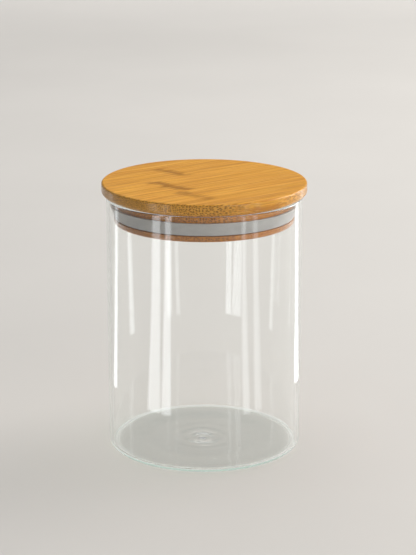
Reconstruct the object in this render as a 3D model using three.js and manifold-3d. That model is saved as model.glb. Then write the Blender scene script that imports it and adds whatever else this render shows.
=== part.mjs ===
// Lidded glass canister: a straight-sided glass jar, a plug lid glued up from bamboo
// strips in four layers, and a flared silicone seal in a groove round the plug.
// Millimetres, +Z up. The origin is the centre of the base, on the surface it stands on.

import * as THREE from 'three';
import { mergeVertices } from 'three/addons/utils/BufferGeometryUtils.js';
import Module from 'manifold-3d';

// ---- Driving dimensions -------------------------------------------------------------

// Glass jar
const JAR_RADIUS = 50; // outside
const JAR_HEIGHT = 132.5; // base to the top of the rim
const JAR_WALL = 1.9;
const FLOOR_THICKNESS = 1.2;
const BASE_ROUNDING = 2.2; // outside corner at the base
const FLOOR_ROUNDING = 1.5; // inside corner at the floor

// Lid disc, which covers the rim
const DISC_OVERHANG = 2.3; // beyond the outside of the jar
const DISC_THICKNESS = 5.8;
const DISC_TOP_ROUNDING = 1.0;
const DISC_UNDER_ROUNDING = 1.7;
const RIM_GAP = 0.9; // between the rim and the disc

// Plug below the disc, which goes into the mouth
const PLUG_CLEARANCE = 2.1; // all round, between the plug and the glass
const PLUG_DEPTH = 14.5; // underside of the disc to the bottom of the plug
const NECK_HEIGHT = 4.9; // plug above the groove
const FLANGE_THICKNESS = 3.0; // plug below the groove
const FLANGE_ROUNDING = 1.5;
const GROOVE_DEPTH = 2.5;

// Seal in the groove
const SEAL_FIT = 0.3; // between the seal and the wood, all round
const LIP_CLEARANCE = 0.35; // between the free lip and the glass
const LIP_RISE = 0.7; // lip above the body of the seal
const LIP_THICKNESS = 1.2;
const SEAL_FOOT_INSET = 0.3; // foot of the flare inside the plug's own radius

// Bamboo board: strips glued edge to edge, one layer on another
const GRAIN_TURN = 36.5; // degrees from +X, anticlockwise seen from above
const GLUE_LINE = 0.1; // between neighbouring strips and layers
// Where the joints lie across the grain, from the lid's centre
const DISC_JOINTS = [-35, -11.5, 14.5, 36.5];
const NECK_JOINTS = [-23.5, 0.5, 24.5];
const CORE_JOINTS = [-29.5, -5.5, 18.5];
const FOOT_JOINTS = [-18, 6, 29.5];

// Facets
const SEGMENTS = 72; // round every turned shape
const ROUND_STEPS = 4; // along a quarter-round edge

// ---- Worked out from the driving dimensions -------------------------------------------

const mouthRadius = JAR_RADIUS - JAR_WALL;
const discRadius = JAR_RADIUS + DISC_OVERHANG;
const discBottom = JAR_HEIGHT + RIM_GAP;
const discTop = discBottom + DISC_THICKNESS;

const plugRadius = mouthRadius - PLUG_CLEARANCE;
const grooveRadius = plugRadius - GROOVE_DEPTH;
const plugBottom = discBottom - PLUG_DEPTH;
const grooveTop = discBottom - NECK_HEIGHT;
const grooveBottom = plugBottom + FLANGE_THICKNESS;
const footTop = (plugBottom + grooveTop) / 2; // the two layers below the neck are equal

// ---- Materials --------------------------------------------------------------------------

const glass = () =>
  new THREE.MeshStandardMaterial({
    color: 0xdfe6e0, roughness: 0.05, metalness: 0, transparent: true, opacity: 0.3,
  });
const silicone = () =>
  new THREE.MeshStandardMaterial({ color: 0xc4c1bc, roughness: 0.4, metalness: 0 });
const bamboo = (color) =>
  new THREE.MeshStandardMaterial({ color, roughness: 0.45, metalness: 0 });

const FACE_TONES = [0xd9a354, 0xcf9448, 0xd8a051, 0xc98d43, 0xd49c50];
const PLUG_TONES = [0xb98040, 0xa87038, 0xb47a3c, 0xa06a34];

// ---- Geometry helpers ---------------------------------------------------------------------

// Points of a profile along an arc about (r, z), from one angle to another in degrees.
function arc(r, z, radius, from, to, steps) {
  return Array.from({ length: steps + 1 }, (_, i) => {
    const a = THREE.MathUtils.degToRad(from + ((to - from) * i) / steps);
    return [r + radius * Math.cos(a), z + radius * Math.sin(a)];
  });
}

// A profile of [radius, height] points turned about +Z.
function turned(profile) {
  const points = profile.map(([r, z]) => new THREE.Vector2(r, z));
  return new THREE.LatheGeometry(points, SEGMENTS).rotateX(Math.PI / 2);
}

const wasm = await Module();
wasm.setup();

function toSolid(geometry) {
  const bare = geometry.clone();
  bare.deleteAttribute('normal');
  bare.deleteAttribute('uv');
  const merged = mergeVertices(bare);
  const vertProperties = merged.attributes.position.array;
  const triVerts = new Uint32Array(merged.index.array);
  return new wasm.Manifold(new wasm.Mesh({ numProp: 3, vertProperties, triVerts }));
}

function toGeometry(solid) {
  const { vertProperties, triVerts } = solid.getMesh();
  const geometry = new THREE.BufferGeometry();
  geometry.setAttribute('position', new THREE.BufferAttribute(vertProperties, 3));
  geometry.setIndex(new THREE.BufferAttribute(triVerts, 1));
  return geometry.toNonIndexed();
}

function named(name, geometry, material) {
  const mesh = new THREE.Mesh(geometry, material);
  mesh.name = name;
  return mesh;
}

// ---- Glass jar --------------------------------------------------------------------------------

// One wall from base to rim with a fire-polished rim, a flat base and a flat floor.
function glassJar() {
  const rimRadius = JAR_WALL / 2;
  const baseCorner = JAR_RADIUS - BASE_ROUNDING;
  const floorCorner = mouthRadius - FLOOR_ROUNDING;
  const profile = [
    [0, 0],
    ...arc(baseCorner, BASE_ROUNDING, BASE_ROUNDING, -90, 0, ROUND_STEPS),
    ...arc(JAR_RADIUS - rimRadius, JAR_HEIGHT - rimRadius, rimRadius, 0, 180, 2 * ROUND_STEPS),
    ...arc(floorCorner, FLOOR_THICKNESS + FLOOR_ROUNDING, FLOOR_ROUNDING, 0, -90, ROUND_STEPS),
    [0, FLOOR_THICKNESS],
  ];
  return named('glass_jar', turned(profile), glass());
}

// ---- Silicone seal ------------------------------------------------------------------------------

// A ring that fills the groove, with a face that flares out to a free lip at the top.
function siliconeSeal() {
  const inside = grooveRadius + SEAL_FIT;
  const bottom = grooveBottom + SEAL_FIT;
  const top = grooveTop - SEAL_FIT;
  const lipRadius = mouthRadius - LIP_CLEARANCE;
  const lipTop = top + LIP_RISE;
  const lipRoot = Math.max(plugRadius + SEAL_FIT, lipRadius - LIP_THICKNESS);
  const profile = [
    [inside, bottom],
    [plugRadius - SEAL_FOOT_INSET, bottom],
    [lipRadius, lipTop - SEAL_FIT],
    [lipRadius - SEAL_FIT, lipTop],
    [lipRoot, top],
    [inside, top],
    [inside, bottom],
  ];
  return named('silicone_seal', turned(profile), silicone());
}

// ---- Bamboo lid ------------------------------------------------------------------------------------

// The turned shape of one layer, cut along the grain into strips with a glue line between.
function layer(name, profile, joints, reach, tones) {
  const group = new THREE.Group();
  const round = toSolid(turned(profile));
  const heights = profile.map(([, z]) => z);
  const low = Math.min(...heights);
  const high = Math.max(...heights);
  const edges = [-2 * reach, ...joints, 2 * reach];
  for (let i = 0; i + 1 < edges.length; i++) {
    const width = edges[i + 1] - edges[i] - GLUE_LINE;
    const slab = new THREE.BoxGeometry(4 * reach, width, 2 * (high - low));
    slab.translate(0, (edges[i] + edges[i + 1]) / 2, (low + high) / 2);
    slab.rotateZ(THREE.MathUtils.degToRad(GRAIN_TURN));
    const strip = toGeometry(round.intersect(toSolid(slab)));
    group.add(named(`${name}_strip_${i + 1}`, strip, bamboo(tones[i % tones.length])));
  }
  return group;
}

function disc() {
  const topCorner = discRadius - DISC_TOP_ROUNDING;
  const underCorner = discRadius - DISC_UNDER_ROUNDING;
  const underCentre = discBottom + DISC_UNDER_ROUNDING;
  const profile = [
    [0, discBottom],
    ...arc(underCorner, underCentre, DISC_UNDER_ROUNDING, -90, 0, ROUND_STEPS),
    ...arc(topCorner, discTop - DISC_TOP_ROUNDING, DISC_TOP_ROUNDING, 0, 90, ROUND_STEPS),
    [0, discTop],
  ];
  return layer('disc', profile, DISC_JOINTS, discRadius, FACE_TONES);
}

// A plain round layer of the plug.
function plainLayer(name, radius, bottom, top, joints) {
  const profile = [[0, bottom], [radius, bottom], [radius, top], [0, top]];
  return layer(name, profile, joints, plugRadius, PLUG_TONES);
}

// The lowest layer: the flange that holds the seal in, and the bottom of the groove above it.
function foot() {
  const top = footTop - GLUE_LINE;
  const corner = plugRadius - FLANGE_ROUNDING;
  const profile = [
    [0, plugBottom],
    ...arc(corner, plugBottom + FLANGE_ROUNDING, FLANGE_ROUNDING, -90, 0, ROUND_STEPS),
    [plugRadius, grooveBottom],
    [grooveRadius, grooveBottom],
    [grooveRadius, top],
    [0, top],
  ];
  return layer('foot', profile, FOOT_JOINTS, plugRadius, PLUG_TONES);
}

function bambooLid() {
  const lid = new THREE.Group();
  lid.add(disc());
  lid.add(plainLayer('neck', plugRadius, grooveTop, discBottom - GLUE_LINE, NECK_JOINTS));
  lid.add(plainLayer('core', grooveRadius, footTop, grooveTop - GLUE_LINE, CORE_JOINTS));
  lid.add(foot());
  return lid;
}

// ---- Assembly ---------------------------------------------------------------------------------------

const canister = new THREE.Group();
canister.add(glassJar(), siliconeSeal(), bambooLid());

export default canister;
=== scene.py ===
"""Lidded glass canister: the finished surfaces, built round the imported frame.

Lengths are metres. The jar's axis is +Z, and the surface it stands on is z = 0.
"""

import math

import bpy
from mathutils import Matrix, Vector


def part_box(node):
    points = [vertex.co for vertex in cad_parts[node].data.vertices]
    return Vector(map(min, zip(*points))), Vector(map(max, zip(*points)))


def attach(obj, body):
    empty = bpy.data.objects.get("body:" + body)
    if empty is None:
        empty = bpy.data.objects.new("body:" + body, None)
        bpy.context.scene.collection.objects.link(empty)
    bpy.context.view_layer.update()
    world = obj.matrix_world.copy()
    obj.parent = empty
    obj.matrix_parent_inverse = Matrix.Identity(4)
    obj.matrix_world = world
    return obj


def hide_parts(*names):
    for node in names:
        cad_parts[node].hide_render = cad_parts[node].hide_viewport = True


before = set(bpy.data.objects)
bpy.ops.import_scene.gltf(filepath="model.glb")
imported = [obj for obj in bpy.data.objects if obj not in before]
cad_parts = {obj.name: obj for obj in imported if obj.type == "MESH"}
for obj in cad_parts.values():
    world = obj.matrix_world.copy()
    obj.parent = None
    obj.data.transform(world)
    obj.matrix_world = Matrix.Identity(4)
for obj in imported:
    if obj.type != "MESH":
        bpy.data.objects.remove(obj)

bl_info = {
    "name": "Lidded Glass Canister",
    "version": (1, 0, 0),
    "blender": (4, 5, 0),
    "location": "View3D > Sidebar > Canister",
    "description": "Builds a glass canister with a bamboo lid and a silicone seal",
    "category": "Add Mesh",
}

MM = 0.001
SMOOTH_ANGLE = math.radians(32)  # faces that meet at less than this are shaded as one
WELD = 0.001 * MM  # points closer than this are one
CAD_GLUE_LINE = 0.1 * MM
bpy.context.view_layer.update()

LAYERS = {"disc": 5, "neck": 4, "core": 4, "foot": 4}  # strips in each layer of the lid


def layer_nodes(layer):
    """The names of a layer's strips, in order across the grain."""
    return [f"{layer}_strip_{i + 1}" for i in range(LAYERS[layer])]


def box_of(*nodes):
    """The lowest and highest corners of several CAD nodes together."""
    boxes = [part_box(node) for node in nodes]
    low = Vector([min(lo[k] for lo, hi in boxes) for k in range(3)])
    high = Vector([max(hi[k] for lo, hi in boxes) for k in range(3)])
    return low, high


# ---- Settings that a user would change ----------------------------------------------------


class CANISTER_PG_jar(bpy.types.PropertyGroup):
    wall: bpy.props.FloatProperty(
        name="Wall", description="Thickness of the glass wall",
        default=1.9 * MM, unit="LENGTH", precision=4)
    floor: bpy.props.FloatProperty(
        name="Floor", description="Thickness of the glass floor",
        default=1.2 * MM, unit="LENGTH", precision=4)
    base_rounding: bpy.props.FloatProperty(
        name="Base rounding", description="Radius of the outside corner at the base",
        default=2.2 * MM, unit="LENGTH", precision=4)
    floor_rounding: bpy.props.FloatProperty(
        name="Floor rounding", description="Radius of the inside corner at the floor",
        default=1.5 * MM, unit="LENGTH", precision=4)
    hollow: bpy.props.FloatProperty(
        name="Hollow", description="How far the middle of the base stands off the table",
        default=0.5 * MM, unit="LENGTH", precision=5)
    hollow_radius: bpy.props.FloatProperty(
        name="Hollow radius", description="Radius of the hollow, inside the ring it stands on",
        default=40.5 * MM, unit="LENGTH", precision=4)
    ripple_height: bpy.props.FloatProperty(
        name="Ripple height", description="Height of the rings left in the middle of the floor",
        default=0.20 * MM, unit="LENGTH", precision=5)
    ripple_length: bpy.props.FloatProperty(
        name="Ripple length", description="Distance from one ring to the next",
        default=7.2 * MM, unit="LENGTH", precision=4)
    ripple_reach: bpy.props.FloatProperty(
        name="Ripple reach", description="Radius at which the rings have died away",
        default=24 * MM, unit="LENGTH", precision=4)
    ripple_shift: bpy.props.FloatVectorProperty(
        name="Ripple shift", description="Where the rings' middle lies from the jar's axis",
        default=(-0.8 * MM, -3.4 * MM, 0.0), subtype="TRANSLATION", size=3)
    steps: bpy.props.IntProperty(
        name="Steps", description="Facets round the jar", default=256, min=16)
    ior: bpy.props.FloatProperty(
        name="IOR", description="Index of refraction of the glass", default=1.473)
    film: bpy.props.FloatProperty(
        name="Film", description="Roughness that the faint film on the glass gives",
        default=0.035)
    scuff: bpy.props.FloatProperty(
        name="Scuff", description="Roughness of the ring that the jar stands on", default=0.32)
    clear: bpy.props.FloatVectorProperty(
        name="Clear", description="What one face of the glass leaves of a lamp's light",
        default=(0.982, 0.988, 0.983), subtype="COLOR", size=3)
    tint: bpy.props.FloatVectorProperty(
        name="Tint", description="Colour that a long way through the glass leaves",
        default=(0.60, 0.93, 0.78), subtype="COLOR", size=3)
    tint_density: bpy.props.FloatProperty(
        name="Tint density", description="How soon the glass takes its tint, per metre",
        default=9.0)
    caught_light: bpy.props.FloatVectorProperty(
        name="Caught light", description="Light that comes out of the thick glass at the base",
        default=(0.62, 0.63, 0.61), subtype="COLOR", size=3)


class CANISTER_PG_seal(bpy.types.PropertyGroup):
    lip: bpy.props.FloatProperty(
        name="Lip", description="Thickness of the free lip",
        default=0.8 * MM, unit="LENGTH", precision=4)
    lip_rise: bpy.props.FloatProperty(
        name="Lip rise", description="Height of the lip above the body of the seal",
        default=0.7 * MM, unit="LENGTH", precision=4)
    edge: bpy.props.FloatProperty(
        name="Edge rounding", description="Radius of the moulded edges",
        default=0.25 * MM, unit="LENGTH", precision=5)
    colour: bpy.props.FloatVectorProperty(
        name="Colour", description="Colour of the silicone",
        default=(0.50, 0.485, 0.478), subtype="COLOR", size=3)
    dust: bpy.props.FloatVectorProperty(
        name="Dust", description="Colour of the dust on the silicone",
        default=(0.66, 0.64, 0.6), subtype="COLOR", size=3)
    fit: bpy.props.FloatProperty(
        name="Fit", description="Clearance between the seal and the wood",
        default=0.3 * MM, unit="LENGTH", precision=4)
    steps: bpy.props.IntProperty(
        name="Steps", description="Facets round the seal", default=256, min=16)


class CANISTER_PG_lid(bpy.types.PropertyGroup):
    grain_turn: bpy.props.FloatProperty(
        name="Grain direction", description="Turn of the grain from +X",
        default=math.radians(36.5), unit="ROTATION")
    glue_line: bpy.props.FloatProperty(
        name="Glue line", description="Width of the joint between two strips",
        default=0.05 * MM, unit="LENGTH", precision=5)
    top_rounding: bpy.props.FloatProperty(
        name="Top edge", description="Radius of the disc's upper edge",
        default=1.0 * MM, unit="LENGTH", precision=4)
    under_rounding: bpy.props.FloatProperty(
        name="Lower edge", description="Radius of the disc's lower edge",
        default=1.7 * MM, unit="LENGTH", precision=4)
    flange: bpy.props.FloatProperty(
        name="Flange", description="Thickness of the flange under the seal",
        default=3.0 * MM, unit="LENGTH", precision=4)
    flange_rounding: bpy.props.FloatProperty(
        name="Flange edge", description="Radius of the flange's lower edge",
        default=1.5 * MM, unit="LENGTH", precision=4)
    steps: bpy.props.IntProperty(
        name="Steps", description="Facets round the lid", default=192, min=16)
    bundle: bpy.props.FloatProperty(
        name="Bundle spacing", description="Distance between the dark bundles in the end grain",
        default=0.88 * MM, unit="LENGTH", precision=5)
    pale: bpy.props.FloatVectorProperty(
        name="Pale fibre", description="Colour of the palest fibres",
        default=(0.80, 0.390, 0.040), subtype="COLOR", size=3)
    deep: bpy.props.FloatVectorProperty(
        name="Deep fibre", description="Colour of the darker fibres",
        default=(0.56, 0.212, 0.009), subtype="COLOR", size=3)
    tan: bpy.props.FloatVectorProperty(
        name="Tan band", description="Colour of the broad darker bands",
        default=(0.50, 0.20, 0.02), subtype="COLOR", size=3)
    streak: bpy.props.FloatVectorProperty(
        name="Streak", description="Colour of the dark streaks along the grain",
        default=(0.47, 0.17, 0.010), subtype="COLOR", size=3)
    # Short bright streaks, partly paler fibre and partly painted sheen along the fibres
    pale_fibre_and_sheen: bpy.props.FloatVectorProperty(
        name="Gleam", description="Colour of the short bright streaks",
        default=(0.90, 0.54, 0.13), subtype="COLOR", size=3)
    end_grain: bpy.props.FloatVectorProperty(
        name="End grain", description="Colour of the soft wood between the bundles, cut across",
        default=(0.74, 0.40, 0.085), subtype="COLOR", size=3)
    bundle_colour: bpy.props.FloatVectorProperty(
        name="Bundle", description="Colour of the bundles where they are cut across",
        default=(0.150, 0.062, 0.008), subtype="COLOR", size=3)
    knuckle: bpy.props.FloatVectorProperty(
        name="Knuckle", description="Colour of the marks where the cane had its joints",
        default=(0.36, 0.140, 0.001), subtype="COLOR", size=3)


class CANISTER_PG_stage(bpy.types.PropertyGroup):
    floor: bpy.props.FloatVectorProperty(
        name="Floor", description="Colour of the floor",
        default=(0.64, 0.615, 0.585), subtype="COLOR", size=3)
    sky: bpy.props.FloatProperty(
        name="Sky", description="Strength of the even light from all round", default=0.20)
    backdrop: bpy.props.FloatProperty(
        name="Backdrop", description="How much brighter the sky looks than it lights",
        default=0.45)
    far_light: bpy.props.FloatProperty(
        name="Far light", description="Light of the floor's own, beyond the reach of the lamps",
        default=0.65)
    key: bpy.props.FloatProperty(
        name="Key light", description="Power that each of the big lamps takes its share of",
        default=26.0, unit="POWER")


# ---- Modelling helpers --------------------------------------------------------------------


def arc(r, z, radius, start, end, steps):
    """Points of a profile along an arc about (r, z), from one angle to another in degrees.

    One more point lies just before it and one just after, so that the faces which run on
    from the arc are shaded flat.
    """
    angles = [math.radians(start + (end - start) * i / steps) for i in range(steps + 1)]
    points = [(r + radius * math.cos(a), z + radius * math.sin(a)) for a in angles]
    lead = math.copysign(min(0.12 * MM, radius * 0.3), end - start)
    (r0, z0), (r1, z1) = points[0], points[-1]
    before = (r0 + lead * math.sin(angles[0]), z0 - lead * math.cos(angles[0]))
    after = (r1 - lead * math.sin(angles[-1]), z1 + lead * math.cos(angles[-1]))
    return [before, *points, after]


def alone(piece):
    """Selects one object only, and makes it the active one."""
    bpy.ops.object.select_all(action="DESELECT")
    piece.select_set(True)
    bpy.context.view_layer.objects.active = piece


def made(name):
    """The object that was made last, given a name of its own."""
    piece = bpy.context.object
    piece.name = piece.data.name = name
    return piece


def turned(name, profile, steps):
    """A profile of (radius, height) points, drawn as a chain of edges and spun about the axis."""
    bpy.ops.object.select_all(action="DESELECT")
    r, z = profile[0]
    bpy.ops.mesh.primitive_plane_add(size=0.1 * MM, location=(r, 0, z))
    bpy.ops.object.transform_apply(location=True, rotation=False, scale=False)
    piece = made(name)
    bpy.ops.object.mode_set(mode="EDIT")
    bpy.ops.mesh.select_mode(type="VERT")
    bpy.ops.mesh.select_all(action="SELECT")
    bpy.ops.mesh.merge(type="CENTER")
    for (r0, z0), (r1, z1) in zip(profile, profile[1:]):
        step = (r1 - r0, 0, z1 - z0)
        bpy.ops.mesh.extrude_region_move(TRANSFORM_OT_translate={"value": step})
    bpy.ops.mesh.select_all(action="SELECT")
    bpy.ops.mesh.spin(steps=steps, angle=math.tau, center=(0, 0, 0), axis=(0, 0, 1))
    bpy.ops.mesh.select_all(action="SELECT")
    bpy.ops.mesh.remove_doubles(threshold=WELD)
    bpy.ops.mesh.normals_make_consistent(inside=False)
    bpy.ops.object.mode_set(mode="OBJECT")
    bpy.ops.object.shade_smooth_by_angle(angle=SMOOTH_ANGLE)
    return piece


def nudge_middle(piece, shift, reach):
    """Moves the middle of a floor sideways, and the floor round it along with it, less and less."""
    alone(piece)
    bpy.ops.object.mode_set(mode="EDIT")
    bpy.ops.mesh.select_all(action="DESELECT")
    bpy.ops.object.mode_set(mode="OBJECT")
    for vertex in piece.data.vertices:
        vertex.select = vertex.co.xy.length < WELD
    bpy.ops.object.mode_set(mode="EDIT")
    bpy.ops.transform.translate(
        value=shift, use_proportional_edit=True, proportional_edit_falloff="SMOOTH",
        proportional_size=reach)
    bpy.ops.object.mode_set(mode="OBJECT")


def cut_away(piece, point, direction):
    """Cuts off what lies beyond a plane in that direction, and closes the cut."""
    alone(piece)
    bpy.ops.object.mode_set(mode="EDIT")
    bpy.ops.mesh.select_all(action="SELECT")
    bpy.ops.mesh.bisect(plane_co=point, plane_no=direction, use_fill=True, clear_outer=True)
    bpy.ops.object.mode_set(mode="OBJECT")
    bpy.ops.object.shade_smooth_by_angle(angle=SMOOTH_ANGLE)


def finish_piece(piece, material, slot, body, *nodes):
    """Gives a piece its material and its body, and puts it in the place of its CAD nodes."""
    piece.data.materials.clear()
    piece.data.materials.append(material)
    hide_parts(*nodes)
    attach(piece, body)


# ---- Shader helpers -----------------------------------------------------------------------


class Signal:
    """A socket's output that Python arithmetic builds Math nodes on."""

    def __init__(self, recipe, socket):
        self.recipe = recipe
        self.socket = socket

    def math(self, operation, *others):
        """The result of a Math node on this and the others."""
        values = dict(enumerate((self, *others)))
        return self.recipe.add("Math", {"operation": operation}, values)

    def __add__(self, other):
        return self.math("ADD", other)

    def __sub__(self, other):
        return self.math("SUBTRACT", other)

    def __mul__(self, other):
        return self.math("MULTIPLY", other)

    def __rsub__(self, other):
        return (self * -1.0) + other

    def __abs__(self):
        return self.math("ABSOLUTE")

    __radd__ = __add__

    def ramp(self, low, high):
        """0 below low, 1 above high and smooth between; high below low turns it round."""
        if high < low:
            return 1 - self.ramp(high, low)
        return self.recipe.add(
            "MapRange", {"interpolation_type": "SMOOTHSTEP"},
            {"Value": self, "From Min": low, "From Max": high})


class Recipe:
    """The nodes of a material, a lamp or the sky, under construction."""

    def __init__(self, owner):
        self.owner = owner
        owner.use_nodes = True
        self.tree = owner.node_tree
        self.tree.nodes.clear()

    def add(self, kind, settings=None, sockets=None, out=0):
        """Adds a node, sets it up, feeds its sockets with values or links, gives an output."""
        node = self.tree.nodes.new("ShaderNode" + kind)
        for name, value in (settings or {}).items():
            setattr(node, name, value)
        for key, value in (sockets or {}).items():
            self.feed(node.inputs[key], value)
        return Signal(self, node.outputs[out]) if len(node.outputs) else node

    def feed(self, socket, value):
        """Links a socket to a signal, or sets it to a plain value."""
        if isinstance(value, Signal):
            self.tree.links.new(value.socket, socket)
        elif socket.type == "RGBA":
            socket.default_value = (*value[:3], 1.0)
        else:
            socket.default_value = value

    def blend(self, factor, a, b, mode="MIX"):
        """Two colours mixed."""
        settings = {"data_type": "RGBA", "blend_type": mode}
        return self.add("Mix", settings, {0: factor, 6: a, 7: b}, out=2)

    def vector(self, x, y, z):
        """Three values as one vector."""
        return self.add("CombineXYZ", None, {"X": x, "Y": y, "Z": z})

    def noise(self, vector, detail=2.0, roughness=0.5):
        """Noise at one cell per unit of the vector."""
        sockets = {"Vector": vector, "Scale": 1.0, "Detail": detail, "Roughness": roughness}
        return self.add("TexNoise", {"noise_dimensions": "3D"}, sockets)

    def place(self, turn=0.0):
        """The point on the piece in millimetres, along the grain, across it and up."""
        where = self.add("TexCoord", out="Object")
        turned_round = self.add("Mapping", None, {
            "Vector": where, "Rotation": (0, 0, -turn), "Scale": (1 / MM, 1 / MM, 1 / MM)})
        split = self.add("SeparateXYZ", None, {"Vector": turned_round}).socket.node
        return [Signal(self, output) for output in split.outputs]

    def bump(self, height, distance, strength):
        """Normals bent by a height between 0 and 1 that stands for a distance."""
        return self.add("Bump", None, {
            "Height": height, "Distance": distance, "Strength": strength})

    def surface(self, shader, **more):
        """Ends a material with its shader, and with its volume if it has one."""
        self.add("OutputMaterial", None, {"Surface": shader, **more})
        return self.owner


# ---- Finishes -----------------------------------------------------------------------------


def clear_glass(jar):
    """Clear blown glass: a slight waviness, a faint film, and green in a long way through."""
    paint = Recipe(bpy.data.materials.new("clear_glass"))
    x, y, z = paint.place()
    wave = paint.noise(paint.vector(x * 0.08, y * 0.08, z * 0.01), 1.0)
    film = paint.noise(paint.vector(x * 0.09, y * 0.09, z * 0.05), 4.0, 0.6)
    edge = (x * x + y * y).math("SQRT")
    scuffed = z.ramp(0.35, 0.05) * edge.ramp(41.0, 47.0)  # where the jar stands
    glass = paint.add("BsdfPrincipled", None, {
        "Base Color": (1.0, 1.0, 1.0),
        "Roughness": film.ramp(0.55, 0.85) * jar.film + scuffed * jar.scuff,
        "IOR": jar.ior,
        "Transmission Weight": 1.0,
        "Normal": paint.bump(wave, 0.22 * MM, 0.4),
    })
    # Lamps and scattered light go straight through the wall, so that what is inside it or
    # behind it is lit evenly
    clear = paint.add("BsdfTransparent", None, {"Color": tuple(jar.clear)})
    scattered = paint.add("LightPath", out="Is Diffuse Ray")
    lamp = paint.add("LightPath", out="Is Shadow Ray")
    # Light that runs on inside the floor and the wall is not followed for ever: from the fourth
    # mirroring it counts as the room's own even light
    caught = paint.add("LightPath", out="Glossy Depth").math("GREATER_THAN", 3.5)
    room = paint.add("Emission", None, {"Color": tuple(jar.caught_light), "Strength": 1.0})
    shader = paint.add("MixShader", None, {0: caught, 1: glass, 2: room})
    shader = paint.add("MixShader", None, {0: scattered, 1: shader, 2: clear})
    shader = paint.add("MixShader", None, {0: lamp, 1: shader, 2: clear})
    depth = paint.add("VolumeAbsorption", None, {
        "Color": tuple(jar.tint), "Density": jar.tint_density})
    return paint.surface(shader, Volume=depth)


def silicone(seal):
    """Translucent moulded silicone, satin, with faint lines from the mould and a little dust."""
    paint = Recipe(bpy.data.materials.new("frosty_silicone"))
    x, y, z = paint.place()
    cloud = paint.noise(paint.vector(x * 0.12, y * 0.12, z * 0.3), 2.0)
    line = paint.noise(paint.vector(x * 0.02, y * 0.02, z * 3.5), 2.0)
    dust = paint.noise(paint.vector(x * 1.6, y * 1.6, z * 1.6), 3.0, 0.7)
    darker = [c * 0.9 for c in seal.colour]
    colour = paint.blend(cloud.ramp(0.3, 0.7), darker, tuple(seal.colour))
    colour = paint.blend(dust.ramp(0.66, 0.8) * 0.25, colour, tuple(seal.dust))
    shader = paint.add("BsdfPrincipled", None, {
        "Base Color": colour,
        "Roughness": 0.36 + line * 0.16,
        "IOR": 1.41,
        "Subsurface Weight": 0.35,
        "Subsurface Radius": (1.0, 0.9, 0.8),
        "Subsurface Scale": 1.5 * MM,
        "Normal": paint.bump(line * 0.7 + dust * 0.3, 0.05 * MM, 0.5),
    })
    return paint.surface(shader)


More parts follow.
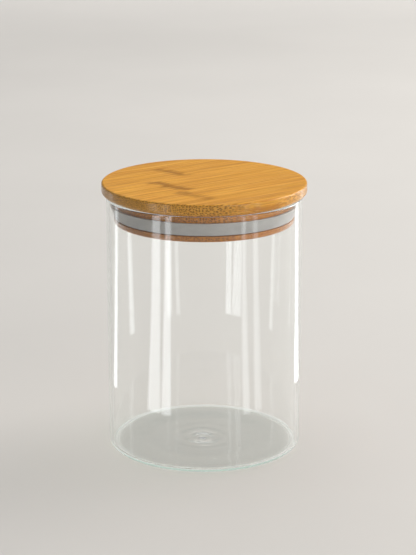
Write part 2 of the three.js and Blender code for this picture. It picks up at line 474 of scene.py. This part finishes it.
def bamboo(name, lid, start, tone, knuckle=None):
    """Bamboo cut from a cane: dark bundles that run with the grain through paler fibre.

    start shifts the pattern, so that no two strips match, and tone colours the whole strip.
    knuckle is where a joint of the cane crosses the strip: its place along the grain and
    across it, in millimetres, its slope, and how strongly it shows.
    """
    paint = Recipe(bpy.data.materials.new(name))
    along, across, up = paint.place(lid.grain_turn)
    run = along + start
    side = across + start * 0.37
    drift = paint.noise(paint.vector(run * 0.022, side * 0.05, up * 0.05), 1.0) * 2.6

    # The bundles: cells in the plane across the grain, so dots in end grain, lines along it
    cells = 1.0 / (lid.bundle / MM)
    bundle = paint.add("TexVoronoi", {"voronoi_dimensions": "2D", "feature": "F1"}, {
        "Vector": paint.vector(side + drift, up * 1.05, 0.0), "Scale": cells,
        "Randomness": 0.7}, out="Distance")
    core = bundle.ramp(0.39, 0.22)

    fibre = paint.noise(paint.vector(run * 0.018, (side + drift) * 1.1, up * 1.1), 4.0, 0.7)
    band = paint.noise(paint.vector(run * 0.01, side * 0.3 + drift * 0.1, up * 0.2), 2.0)
    speck = paint.noise(paint.vector(run * 0.25, side * 4.5, up * 4.5), 2.0, 0.6)
    streak = paint.noise(paint.vector(run * 0.02, side * 0.8 + drift * 0.3, up * 0.8), 1.0)
    pale_fibre_and_sheen = paint.noise(paint.vector(run * 0.045, side * 2.1, up * 2.1), 2.0)

    # How squarely the surface cuts the grain: 1 in end grain, 0 along the strip
    facing = paint.add("TexCoord", out="Normal")
    grain = (math.cos(lid.grain_turn), math.sin(lid.grain_turn), 0.0)
    ends = abs(paint.add(
        "VectorMath", {"operation": "DOT_PRODUCT"}, {0: facing, 1: grain}, out="Value"))
    ends = ends.ramp(0.12, 0.5)
    level = abs(paint.add(
        "VectorMath", {"operation": "DOT_PRODUCT"}, {0: facing, 1: (0.0, 0.0, 1.0)},
        out="Value"))
    turned_side = level.ramp(0.95, 0.4)  # the side that the lathe cut, and its rounded edges

    colour = paint.blend(fibre.ramp(0.32, 0.62), tuple(lid.deep), tuple(lid.pale))
    colour = paint.blend(band.ramp(0.46, 0.76) * 0.18, colour, tuple(lid.tan))
    colour = paint.blend(streak.ramp(0.54, 0.68) * 0.6, colour, tuple(lid.streak))
    colour = paint.blend(speck.ramp(0.5, 0.75) * 0.2, colour, tuple(lid.pale))
    # Short bright streaks along the grain, painted into the colour: partly paler fibre, partly
    # painted sheen
    colour = paint.blend(pale_fibre_and_sheen.ramp(0.58, 0.72) * 0.6, colour, tuple(lid.pale_fibre_and_sheen))
    colour = paint.blend(ends * 0.35, colour, tuple(lid.end_grain))
    colour = paint.blend(core * (0.16 + ends * 0.56), colour, tuple(lid.bundle_colour))
    relief = fibre * 0.5 + speck * 0.15 - core * (0.25 + ends * 0.9)
    if knuckle is not None:
        place, middle, slope, strength = knuckle
        wobble = paint.noise(paint.vector(3.7, side * 0.16, up * 0.2), 1.0) * 5.0 - 2.5
        feather = paint.noise(paint.vector(run * 0.05, side * 0.9, up * 0.9), 3.0, 0.7)
        feather = feather * 16.0 - 8.0
        away = abs(along - (across - middle) * slope - place + wobble) + feather
        patch = paint.noise(paint.vector(run * 0.05, side * 0.26, up * 0.3), 1.0)
        mark = away.ramp(4.6, 0.4) * patch.ramp(0.26, 0.46) * strength
        mark = mark + away.ramp(8.0, 1.0) * (0.10 * strength)
        colour = paint.blend(mark, colour, tuple(lid.knuckle))
        relief = relief - mark * 0.3
    colour = paint.blend(1.0, colour, tone, mode="MULTIPLY")

    shader = paint.add("BsdfPrincipled", None, {
        "Base Color": colour,
        "Roughness": 0.40 + fibre * 0.1 + core * 0.12,
        "IOR": 1.48,
        "Specular IOR Level": 0.12,
        "Coat Weight": 0.04 + turned_side * 0.8,
        "Coat Roughness": 0.22,
        "Normal": paint.bump(relief, 0.12 * MM, 0.55),
    })
    return paint.surface(shader)


def floor_paint(stage):
    """Plain pale paint, a little uneven, with some light of its own far from the jar."""
    paint = Recipe(bpy.data.materials.new("pale_floor"))
    x, y, z = paint.place()
    cloud = paint.noise(paint.vector(x * 0.004, y * 0.004, z), 3.0)
    darker = [c * 0.97 for c in stage.floor]
    colour = paint.blend(cloud.ramp(0.3, 0.7), darker, tuple(stage.floor))
    far = (x * x + y * y).math("SQRT").ramp(1300.0, 2600.0)  # beyond the reach of the lamps
    return paint.surface(paint.add("BsdfPrincipled", None, {
        "Base Color": colour, "Roughness": 0.6, "Specular IOR Level": 0.3,
        "Emission Color": paint.blend(far, (0.0, 0.0, 0.0), tuple(stage.floor)),
        "Emission Strength": stage.far_light}))


# ---- Jar ----------------------------------------------------------------------------------


class CANISTER_OT_jar(bpy.types.Operator):
    """Glass jar: one wall with a fire-polished rim, a floor and the rings in its middle"""

    bl_idname = "canister.jar"
    bl_label = "Glass Jar"

    def execute(self, context):
        jar = context.scene.canister_jar
        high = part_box("glass_jar")[1]
        outside, top = high.x, high.z
        inside = outside - jar.wall
        rim = jar.wall / 2
        reach = jar.ripple_reach
        ring_points, plain_points = 48, 16  # along the floor, within the rings and beyond
        slope = 0.35 * jar.hollow_radius  # the width over which the hollow rises
        pull = 1.6 * reach  # how far out the floor follows when the rings are moved

        def hollow(r):
            """Height of the hollow under the base, and of the floor above it, at a radius."""
            k = min(1.0, max(0.0, (jar.hollow_radius - r) / slope))
            return jar.hollow * k * k * (3 - 2 * k)

        def ring(r):
            """Height of the rings at a radius."""
            fade = max(0.0, 1 - r / reach) ** 1.5
            return jar.ripple_height * fade * math.cos(math.tau * r / jar.ripple_length)

        beyond = jar.hollow_radius - reach
        radii = [reach * i / ring_points for i in range(ring_points)]
        radii += [reach + beyond * i / plain_points for i in range(plain_points + 1)]
        base_corner = outside - jar.base_rounding
        floor_corner = inside - jar.floor_rounding
        up = (0.2, 0.4, 0.6, 0.8)  # shares of the height at which the wall has points
        profile = [
            *[(r, hollow(r)) for r in radii],
            *arc(base_corner, jar.base_rounding, jar.base_rounding, -90, 0, 10),
            *[(outside, top * k) for k in up],
            *arc(outside - rim, top - rim, rim, 0, 180, 16),
            *[(inside, top * k) for k in reversed(up)],
            *arc(floor_corner, jar.floor + jar.floor_rounding, jar.floor_rounding, 0, -90, 10),
            *[(r, jar.floor + hollow(r) + ring(r)) for r in reversed(radii)],
        ]
        piece = turned("jar_glass", profile, jar.steps)
        nudge_middle(piece, jar.ripple_shift, pull)
        finish_piece(piece, clear_glass(jar), "glass", "jar", "glass_jar")
        return {"FINISHED"}


# ---- Seal ---------------------------------------------------------------------------------


class CANISTER_OT_seal(bpy.types.Operator):
    """Silicone seal: a ring in the groove whose face flares out to a free lip"""

    bl_idname = "canister.seal"
    bl_label = "Silicone Seal"

    def execute(self, context):
        seal = context.scene.canister_seal
        low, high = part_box("silicone_seal")
        neck = box_of(*layer_nodes("neck"))[1].x
        inside = box_of(*layer_nodes("core"))[1].x + seal.fit
        foot_radius = neck - seal.fit
        shoulder = high.z - seal.lip_rise
        edge = seal.edge
        lip_inside = high.x - seal.lip
        profile = [
            (inside, low.z + edge),
            *arc(inside + edge, low.z + edge, edge, 180, 270, 4),
            *arc(foot_radius - edge, low.z + edge, edge, -90, -15, 5),
            *arc(high.x - edge, high.z - edge, edge, -15, 90, 6),
            (lip_inside + edge, high.z),
            *arc(lip_inside + edge, high.z - edge, edge, 90, 160, 4),
            (lip_inside - 0.3 * MM, shoulder + 0.1 * MM),  # the lip's root, eased
            (neck + 0.2 * MM, shoulder),
            (inside + edge, shoulder),
            (inside, shoulder - edge),
            (inside, low.z + edge),
        ]
        piece = turned("seal_ring", profile, seal.steps)
        finish_piece(piece, silicone(seal), "silicone", "seal", "silicone_seal")
        return {"FINISHED"}


# ---- Bamboo lid ---------------------------------------------------------------------------


# Where the cane's joints cross the strips: how far along and across the grain in
# millimetres, their slope, and how strongly they show
KNUCKLES = {
    "disc_strip_2": (-22.5, -23.0, -0.19, 0.7),
    "disc_strip_3": (-21.0, 1.5, -0.23, 1.0),
    "disc_strip_4": (-1.7, 25.5, -0.21, 0.8),
    "foot_strip_2": (31.0, -6.0, 0.15, 0.6),
}
STRIP_SHIFT, LAYER_SHIFT = 137.0, 61.0  # how far the pattern moves from one to the next
TONES = [  # of the strips in a layer, one after another
    (0.96, 0.94, 0.92), (0.99, 0.98, 0.96), (1.0, 1.0, 1.0), (0.98, 0.97, 0.95),
    (0.96, 0.94, 0.90)]
# One tone over each plug layer: NECK_TONE leaves the neck and the core yellower, and FOOT_TONE
# makes the foot darker and browner than the disc
NECK_TONE = (1.0, 0.86, 0.66)
FOOT_TONE = (0.74, 0.56, 0.34)


def across_limits(node, lid):
    """The direction across the grain, and the near and far limit of a CAD strip along it."""
    aside = Vector((-math.sin(lid.grain_turn), math.cos(lid.grain_turn), 0))
    reach = [v.co.dot(aside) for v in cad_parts[node].data.vertices]
    return aside, min(reach), max(reach)


def cut_strips(layer, profile, lid, slot, layer_tone=(1.0, 1.0, 1.0)):
    """Turns a layer whole and cuts it along the grain into its strips, and colours the whole layer
    with one tone.
    """
    whole = turned(layer + "_whole", profile, lid.steps)
    nodes = layer_nodes(layer)
    inset = (CAD_GLUE_LINE - lid.glue_line) / 2  # the glue line here is the narrower one
    for i, node in enumerate(nodes):
        alone(whole)
        bpy.ops.object.duplicate()
        strip = made(node + "_wood")
        aside, near, far = across_limits(node, lid)
        if i > 0:
            cut_away(strip, aside * (near - inset), -aside)
        if i < len(nodes) - 1:
            cut_away(strip, aside * (far + inset), aside)
        start = STRIP_SHIFT * (i + 1) + LAYER_SHIFT * list(LAYERS).index(layer)
        tone = [a * b for a, b in zip(TONES[i], layer_tone)]
        material = bamboo(node + "_bamboo", lid, start, tone, KNUCKLES.get(node))
        finish_piece(strip, material, slot, "lid", node)
    bpy.data.objects.remove(whole)


class CANISTER_OT_disc(bpy.types.Operator):
    """Disc of the lid, in strips: flat faces, a small upper edge and a rounder lower one"""

    bl_idname = "canister.disc"
    bl_label = "Lid Disc"

    def execute(self, context):
        lid = context.scene.canister_lid
        low, high = box_of(*layer_nodes("disc"))
        top, under = lid.top_rounding, lid.under_rounding
        profile = [
            (0, low.z),
            *arc(high.x - under, low.z + under, under, -90, 0, 8),
            *arc(high.x - top, high.z - top, top, 0, 90, 8),
            (0, high.z),
        ]
        cut_strips("disc", profile, lid, "bamboo_face")
        return {"FINISHED"}


class CANISTER_OT_neck(bpy.types.Operator):
    """Neck of the plug, in strips, between the disc and the seal's groove"""

    bl_idname = "canister.neck"
    bl_label = "Plug Neck"

    def execute(self, context):
        cut_plain_layer("neck", context.scene.canister_lid)
        return {"FINISHED"}


class CANISTER_OT_core(bpy.types.Operator):
    """Core of the plug, in strips, behind the seal"""

    bl_idname = "canister.core"
    bl_label = "Plug Core"

    def execute(self, context):
        cut_plain_layer("core", context.scene.canister_lid)
        return {"FINISHED"}


def cut_plain_layer(layer, lid):
    """A plain round layer of the plug, with its corners eased."""
    low, high = box_of(*layer_nodes(layer))
    ease = 0.15 * MM
    profile = [
        (0, low.z),
        *arc(high.x - ease, low.z + ease, ease, -90, 0, 3),
        *arc(high.x - ease, high.z - ease, ease, 0, 90, 3),
        (0, high.z),
    ]
    cut_strips(layer, profile, lid, "bamboo_plug", NECK_TONE)


class CANISTER_OT_foot(bpy.types.Operator):
    """Foot of the plug, in strips, with the flange that holds the seal in its groove"""

    bl_idname = "canister.foot"
    bl_label = "Plug Foot"

    def execute(self, context):
        lid = context.scene.canister_lid
        low, high = box_of(*layer_nodes("foot"))
        groove = box_of(*layer_nodes("core"))[1].x
        flange_top = low.z + lid.flange
        rounding, ease = lid.flange_rounding, 0.2 * MM
        profile = [
            (0, low.z),
            *arc(high.x - rounding, low.z + rounding, rounding, -90, 0, 8),
            *arc(high.x - ease, flange_top - ease, ease, 0, 90, 3),
            (groove, flange_top),
            (groove, high.z),
            (0, high.z),
        ]
        cut_strips("foot", profile, lid, "bamboo_plug", FOOT_TONE)
        return {"FINISHED"}


# ---- Stage --------------------------------------------------------------------------------


CAMERA_PLACE = (1.9 * MM, -878.9 * MM, 341.2 * MM)
CAMERA_DOWN = math.radians(16.07)  # below level, looking along +Y
CAMERA_LENS = 114.98  # millimetres, on a 36 mm sensor

FLOOR_SIZE = 12.0
FLOOR_DROP = 0.02 * MM  # so that the floor and the jar's base don't share a plane
LAMPS_AIM = (0, 0, 0.09)
WARM, COOL = (1.0, 0.985, 0.96), (0.93, 0.97, 1.0)
SKY_COLOUR = (0.90, 0.95, 1.0)

# Turn round the jar, distance from it, height, width, length, and share of the key power
LAMPS = {
    "window_right": (118, 1.90, 1.08, 1.8, 2.0, 1.75),
    "front_fill": (42, 1.55, 0.75, 1.3, 1.2, 0.42),
    "overhead": (170, 0.90, 2.60, 3.0, 2.4, 1.3),
    "high_back": (185, 2.0, 1.50, 2.0, 0.6, 0.3),
}
# These two would show as white patches through the glass, in the floor of the jar
UNSEEN_THROUGH_GLASS = ("window_right", "front_fill")

# Turn round the jar, width and power of the cards that stand round it
CARDS = {
    "card_left_1": (-37, 0.020, 0.075),
    "card_left_2": (-50, 0.028, 0.095),
    "card_right_1": (41, 0.014, 0.03),
    "card_right_2": (54, 0.016, 0.03),
    "card_far_left": (-112, 0.014, 0.03),
    "card_far_right": (125, 0.022, 0.06),
}
CARD_FOOT, CARD_HEAD = (0.115, 0.004), (0.34, 0.30)  # distance from the axis, and height


def around(turn, radius, height):
    """A place round the jar: turn is from the front towards the right, in degrees."""
    a = math.radians(turn)
    return Vector((radius * math.sin(a), -radius * math.cos(a), height))


def add_light(name, place, target, width, height, power, colour):
    """A soft rectangular light that faces a point."""
    bpy.ops.object.light_add(type="AREA", location=place)
    lamp = made(name)
    lamp.rotation_euler = (Vector(target) - Vector(place)).to_track_quat("-Z", "Y").to_euler()
    lamp.data.shape = "RECTANGLE"
    lamp.data.size = width
    lamp.data.size_y = height
    lamp.data.energy = power
    lamp.data.color = colour
    lamp.visible_camera = False
    return lamp


def add_card(name, turn, width, power):
    """A narrow light that leans away from the jar and shows only as an upright reflection."""
    near, far = around(turn, *CARD_FOOT), around(turn, *CARD_HEAD)
    lean = far - near
    card = add_light(name, (near + far) / 2, LAMPS_AIM, width, lean.length, power, COOL)
    face = lean.cross(Vector((0, 0, 1))).cross(lean)
    card.rotation_euler = face.to_track_quat("-Z", "Y").to_euler()
    card.visible_diffuse = False
    paint = Recipe(card.data)
    mirrored = paint.add("LightPath", out="Glossy Depth").math("GREATER_THAN", 0.5)
    light = paint.add("Emission", None, {"Strength": mirrored})
    paint.add("OutputLight", None, {"Surface": light})


def pale_sky(stage):
    """Even light from all round, which looks paler behind the horizon than it lights."""
    world = bpy.data.worlds.new("soft_sky")
    paint = Recipe(world)
    scattered = paint.add("LightPath", out="Diffuse Depth")
    mirrored = paint.add("LightPath", out="Glossy Depth")
    backdrop = (scattered + mirrored).ramp(0.8, 0.2) * stage.backdrop
    light = paint.add("Background", None, {
        "Color": SKY_COLOUR, "Strength": stage.sky + backdrop})
    paint.add("OutputWorld", None, {"Surface": light})
    return world


class CANISTER_OT_stage(bpy.types.Operator):
    """Pale floor, soft window light and the camera"""

    bl_idname = "canister.stage"
    bl_label = "Stage"

    def execute(self, context):
        stage = context.scene.canister_stage
        bpy.ops.object.select_all(action="DESELECT")
        bpy.ops.mesh.primitive_plane_add(size=FLOOR_SIZE, location=(0, 0, -FLOOR_DROP))
        bpy.ops.object.transform_apply(location=True, rotation=False, scale=False)
        floor = made("floor")
        floor.data.materials.append(floor_paint(stage))

        for name, (turn, distance, height, width, length, share) in LAMPS.items():
            place = around(turn, distance, height)
            lamp = add_light(name, place, LAMPS_AIM, width, length, stage.key * share, WARM)
            lamp.visible_transmission = name not in UNSEEN_THROUGH_GLASS
        for name, (turn, width, power) in CARDS.items():
            add_card(name, turn, width, power)

        bpy.ops.object.camera_add(
            location=CAMERA_PLACE, rotation=(math.pi / 2 - CAMERA_DOWN, 0, 0))
        camera = made("camera")
        camera.data.lens = CAMERA_LENS
        camera.data.clip_start = 0.01
        context.scene.camera = camera

        context.scene.world = pale_sky(stage)
        context.scene.view_settings.view_transform = "Standard"
        return {"FINISHED"}


# ---- Panel and registration ---------------------------------------------------------------


class CANISTER_PT_panel(bpy.types.Panel):
    bl_label = "Lidded Glass Canister"
    bl_idname = "CANISTER_PT_panel"
    bl_space_type = "VIEW_3D"
    bl_region_type = "UI"
    bl_category = "Canister"

    def draw(self, context):
        scene = context.scene
        for title, group, operators in (
            ("Jar", scene.canister_jar, ["jar"]),
            ("Seal", scene.canister_seal, ["seal"]),
            ("Lid", scene.canister_lid, ["disc", "neck", "core", "foot"]),
            ("Stage", scene.canister_stage, ["stage"]),
        ):
            column = self.layout.box().column()
            column.label(text=title)
            for name in group.bl_rna.properties.keys():
                if name not in ("rna_type", "name"):
                    column.prop(group, name)
            for operator in operators:
                column.operator("canister." + operator)


CLASSES = [
    CANISTER_PG_jar, CANISTER_PG_seal, CANISTER_PG_lid, CANISTER_PG_stage,
    CANISTER_OT_jar, CANISTER_OT_seal, CANISTER_OT_disc, CANISTER_OT_neck, CANISTER_OT_core,
    CANISTER_OT_foot, CANISTER_OT_stage, CANISTER_PT_panel]
GROUPS = {
    "canister_jar": CANISTER_PG_jar,
    "canister_seal": CANISTER_PG_seal,
    "canister_lid": CANISTER_PG_lid,
    "canister_stage": CANISTER_PG_stage,
}


def register():
    for cls in CLASSES:
        bpy.utils.register_class(cls)
    for name, group in GROUPS.items():
        setattr(bpy.types.Scene, name, bpy.props.PointerProperty(type=group))


def unregister():
    for name in GROUPS:
        delattr(bpy.types.Scene, name)
    for cls in reversed(CLASSES):
        bpy.utils.unregister_class(cls)


def main():
    register()
    bpy.ops.canister.stage()
    bpy.ops.canister.jar()
    bpy.ops.canister.seal()
    bpy.ops.canister.disc()
    bpy.ops.canister.neck()
    bpy.ops.canister.core()
    bpy.ops.canister.foot()


if __name__ == "__main__":
    main()
